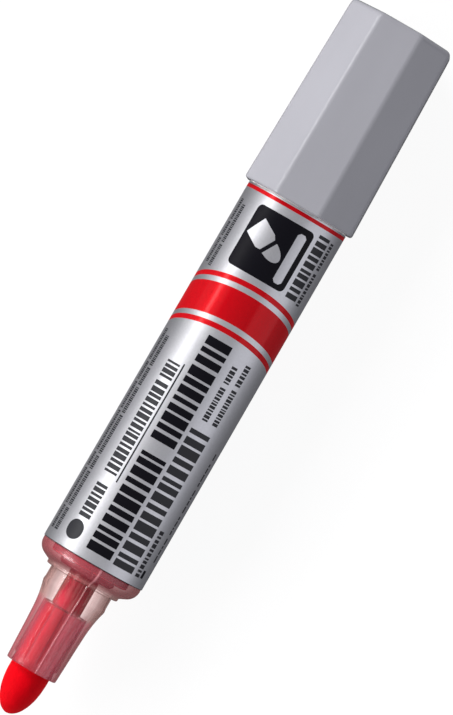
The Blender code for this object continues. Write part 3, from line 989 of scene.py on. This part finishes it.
def eased(share):
    """How far along a spring the wire has climbed: slowly in the end turns, evenly between them."""
    flat = 0.06
    if share < flat:
        return share * share / (2 * flat * (1 - flat))
    if share > 1 - flat:
        rest = 1 - share
        return 1 - rest * rest / (2 * flat * (1 - flat))
    return (share - flat / 2) / (1 - flat)


def coil(name, node, turns, wire, body):
    """A compression spring with closed ends, in the space of its CAD node."""
    front, rear, outer = span(node)
    radius, steps_per_turn, sides = outer - wire, 40, 14
    steps = round(turns * steps_per_turn)
    low, high = front + wire, rear - wire
    section = [(radius + wire * math.cos(t), wire * math.sin(t)) for t in even_angles(sides)]
    bm = bmesh.new()
    rings = []
    for step in range(steps + 1):
        share = step / steps
        angle = math.tau * turns * share
        climb = low + (high - low) * eased(share)
        rings.append([bm.verts.new(at(r, angle, climb + along)) for r, along in section])
    for first, second in zip(rings, rings[1:]):
        bridge(bm, first, second)
    bm.faces.new(rings[0])
    bm.faces.new(rings[-1])
    return piece(name, bm, body, WIRE, (node,))


def shorten(spring):
    """Gives the spring a mesh of its own."""
    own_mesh(spring)


def bellows():
    """The folded rubber wall between a cuff on the rod and a cuff in the tail."""
    made = respun("bellows", "pump_bellows", None, RUBBER, fillet=0.3)
    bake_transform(made)


def inner_pieces():
    """The turned pieces, finer than their CAD nodes, the springs and the two nodes that are kept."""
    respun("barrel", "barrel_tube", "barrel", BARREL, segments=SPIN)
    respun("front_gasket_ring", "front_gasket", "barrel", RUBBER)
    respun("tail_gasket_ring", "tail_gasket", "barrel", RUBBER)
    respun("wick", "ink_wick", "barrel", WICK_FELT)
    respun("valve_stem", "valve_plug", "valve", NATURAL)
    respun("valve_pad", "valve_washer", "valve", RUBBER)
    respun("valve_seat_ring", "valve_seat", "barrel", NATURAL)
    respun("tail", "tail_plug", "barrel", TAIL_GREY, segments=SPIN)
    bellows()
    respun("bellows_clamp", "bellows_ring", "barrel", NATURAL)
    respun("button", "pump_button", "pump", BUTTON_RED, fillet=0.25, segments=SPIN)
    respun("collar", "button_collar", "barrel", TAIL_GREY, fillet=0.2, segments=SPIN)
    button_spring = coil("button_return_spring", "button_spring", 7, 0.22, "barrel")
    valve_spring = coil("valve_return_spring", "valve_spring", 4.5, 0.25, "barrel")
    shorten(button_spring)
    shorten(valve_spring)
    for node in ("valve_cage", "push_rod"):
        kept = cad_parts[node]
        kept.data.materials.clear()
        kept.data.materials.append(NATURAL)


# ---------------------------------------------------------------- studio


def floor():
    """Plain white paper, lit from within so that it stays white, just clear of the marker's lowest facet."""
    reach, gap = 4, 0.2 * MM
    corners = [(-reach, -reach), (reach, -reach), (reach, reach), (-reach, reach)]
    bm = bmesh.new()
    bm.faces.new([bm.verts.new((x, y, cad_low.z - gap)) for x, y in corners])
    mesh = bpy.data.meshes.new("floor")
    bm.to_mesh(mesh)
    bm.free()
    plane = bpy.data.objects.new("floor", mesh)
    bpy.context.collection.objects.link(plane)
    paper = Nodes("floor_paper", (0.06, 0.06, 0.06), 0.9)
    paper.shader.inputs["Emission Color"].default_value = (1, 1, 1, 1)
    paper.shader.inputs["Emission Strength"].default_value = 0.92
    mesh.materials.append(paper.material)
    plane.visible_glossy = False


def softbox(name, direction, distance, width, length, radiance, shift=0, color=(1, 1, 1), mirrored=True):
    """A soft area light that faces the marker's middle, or a point shifted along it, from a direction.

    Its sizes are in metres, and its length runs along the marker. Where it isn't mirrored, glossy surfaces
    don't show it.
    """
    lamp = bpy.data.lights.new(name, "AREA")
    lamp.shape, lamp.size, lamp.size_y = "RECTANGLE", length, width
    lamp.energy = math.pi * width * length * radiance
    lamp.color = color
    away = Vector(direction).normalized()
    along = Vector((1, 0, 0))
    along = (along - away * along.dot(away)).normalized()
    obj = bpy.data.objects.new(name, lamp)
    turn = Matrix((along, away.cross(along), away)).transposed().to_4x4()
    obj.matrix_world = Matrix.Translation(Vector((shift, 0, AXIS_HEIGHT)) + away * distance) @ turn
    obj.visible_camera = False
    obj.visible_glossy = mirrored
    bpy.context.collection.objects.link(obj)


def off_vertical(angle):
    """The direction at an angle from straight up, square to the marker, positive towards -Y."""
    return 0, -math.sin(math.radians(angle)), math.cos(math.radians(angle))


def studio():
    """Long soft lights on both sides and over the nib's end, two lamps at the +Y corners, sky and floor."""
    bpy.context.scene.view_settings.view_transform = "Standard"
    bluish = (0.97, 0.98, 1.04)
    softbox("key", off_vertical(-62), distance=0.8, width=0.8, length=1.4, radiance=0.58)
    softbox("strip", off_vertical(-57), distance=0.78, width=0.09, length=1.4, radiance=6.8)
    softbox("fill", off_vertical(62), distance=0.8, width=0.83, length=1.4, radiance=0.74, color=bluish)
    softbox("overhead", off_vertical(0), distance=0.5, width=0.5, length=0.75, radiance=0.36, shift=-0.375)
    toward_cap, toward_nib = (0.7, 0.85, 0.62), (-0.7, 0.85, 0.62)
    softbox("main_cap", toward_cap, distance=1.2, width=0.5, length=0.5, radiance=20, mirrored=False)
    softbox("main_nib", toward_nib, distance=1.2, width=0.5, length=0.5, radiance=13)
    sky()
    floor()


def sky():
    """The room: brightest near the horizon, dimmer overhead and darkest below, changing smoothly."""
    world = bpy.data.worlds.new("studio")
    bpy.context.scene.world = world
    world.use_nodes = True
    tree = world.node_tree
    place = tree.nodes.new("ShaderNodeTexCoord")
    parts = tree.nodes.new("ShaderNodeSeparateXYZ")
    height = tree.nodes.new("ShaderNodeMapRange")
    height.inputs["From Min"].default_value = -1
    ramp = tree.nodes.new("ShaderNodeValToRGB")
    levels = [(0, 0.08), (0.12, 0.1), (0.25, 0.16), (0.42, 0.38), (0.55, 0.34), (0.75, 0.26), (1, 0.26)]
    tint = (0.97, 0.98, 1.06)
    stops = ramp.color_ramp.elements
    while len(stops) < len(levels):
        stops.new(0.5)
    for stop, (at_height, level) in zip(stops, levels):
        stop.position = at_height
        stop.color = (*(level * share for share in tint), 1)
    tree.links.new(place.outputs["Generated"], parts.inputs["Vector"])
    tree.links.new(parts.outputs["Z"], height.inputs["Value"])
    tree.links.new(height.outputs["Result"], ramp.inputs["Fac"])
    tree.links.new(ramp.outputs["Color"], tree.nodes["Background"].inputs["Color"])


def camera():
    """A long lens, almost straight above the marker, which leans 30 degrees off the frame's upright."""
    distance, seen = 1.05, 0.1156  # metres: how far away it is, and how much of the longer side it sees there
    roll, round_axis = math.radians(30.07), math.radians(2)
    toward = Vector((0, -math.sin(round_axis), math.cos(round_axis)))
    along, right = Vector((1, 0, 0)), Vector((0, -math.cos(round_axis), -math.sin(round_axis)))
    middle, aside = 67.5, 2.09
    target = Vector((TIP_X + middle * MM, 0, AXIS_HEIGHT)) + right * aside * MM
    up = along * math.cos(roll) - right * math.sin(roll)
    side = along * math.sin(roll) + right * math.cos(roll)
    data = bpy.data.cameras.new("camera")
    data.sensor_width = 36
    data.lens = data.sensor_width * distance / seen
    data.clip_start, data.clip_end = 0.05, 10
    obj = bpy.data.objects.new("camera", data)
    turn = Matrix((side, up, toward)).transposed().to_4x4()
    obj.matrix_world = Matrix.Translation(target + toward * distance) @ turn
    bpy.context.collection.objects.link(obj)
    bpy.context.scene.camera = obj


camera()
studio()
cap()
label()
front_section()
skirt_ink()
nib()
inner_pieces()
